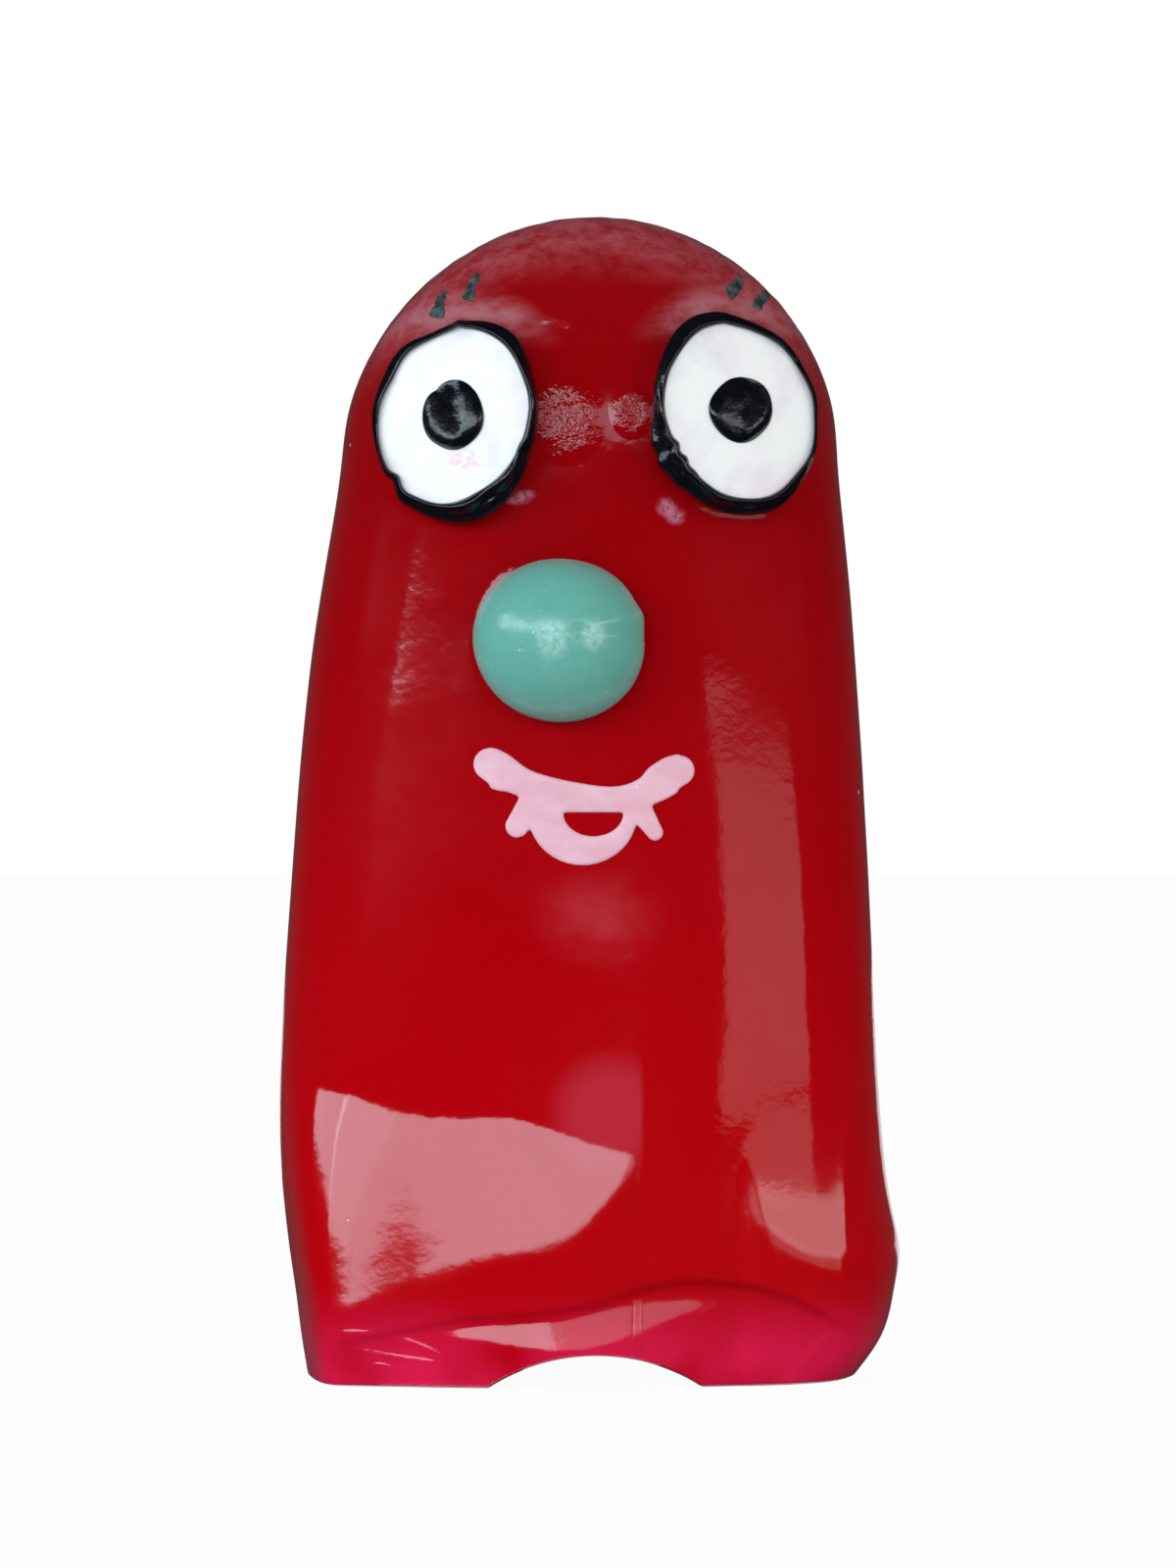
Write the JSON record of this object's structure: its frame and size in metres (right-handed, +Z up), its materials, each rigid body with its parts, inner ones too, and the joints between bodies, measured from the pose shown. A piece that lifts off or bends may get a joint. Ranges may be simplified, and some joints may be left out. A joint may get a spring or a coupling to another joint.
{
  "type": "finger puppet",
  "caption": "Soft dome-topped sleeve that fits over a finger, with raised goggle eyes, ball nose and smiling mouth; the head nods at a flex line.",
  "frame": {"origin": "on the floor, in the middle of the finger opening at the hem", "axes": "+Z up towards the crown, the face looks along -Y, +X is the viewer's right when facing it"},
  "size_m": [0.0353, 0.0279, 0.0659],
  "materials": {
    "skin": "glossy soft vinyl, slightly translucent red",
    "eye_black": "thick gloss paint",
    "eye_white": "satin paint",
    "nose_green": "satin paint over soft vinyl",
    "mouth_pink": "satin paint",
    "lash_grey": "thin worn paint"
  },
  "bodies": {
    "skirt": {"skirt_skin": "skin"},
    "head": {"head_skin": "skin", "left_eye_rim": "eye_black", "left_eye_white": "eye_white", "left_pupil": "eye_black", "right_eye_rim": "eye_black", "right_eye_white": "eye_white", "right_pupil": "eye_black", "nose": "nose_green", "mouth": "mouth_pink", "left_outer_lash": "lash_grey", "left_inner_lash": "lash_grey", "right_inner_lash": "lash_grey", "right_outer_lash": "lash_grey"}
  },
  "joints": [
    {"name": "nod", "type": "hinge", "parent": "skirt", "child": "head", "pos_m": [0, 0, 0.021], "axis": [1, 0, 0], "range_deg": [-12, 40], "stiffness_Nm_per_rad": 0.03}
  ]
}
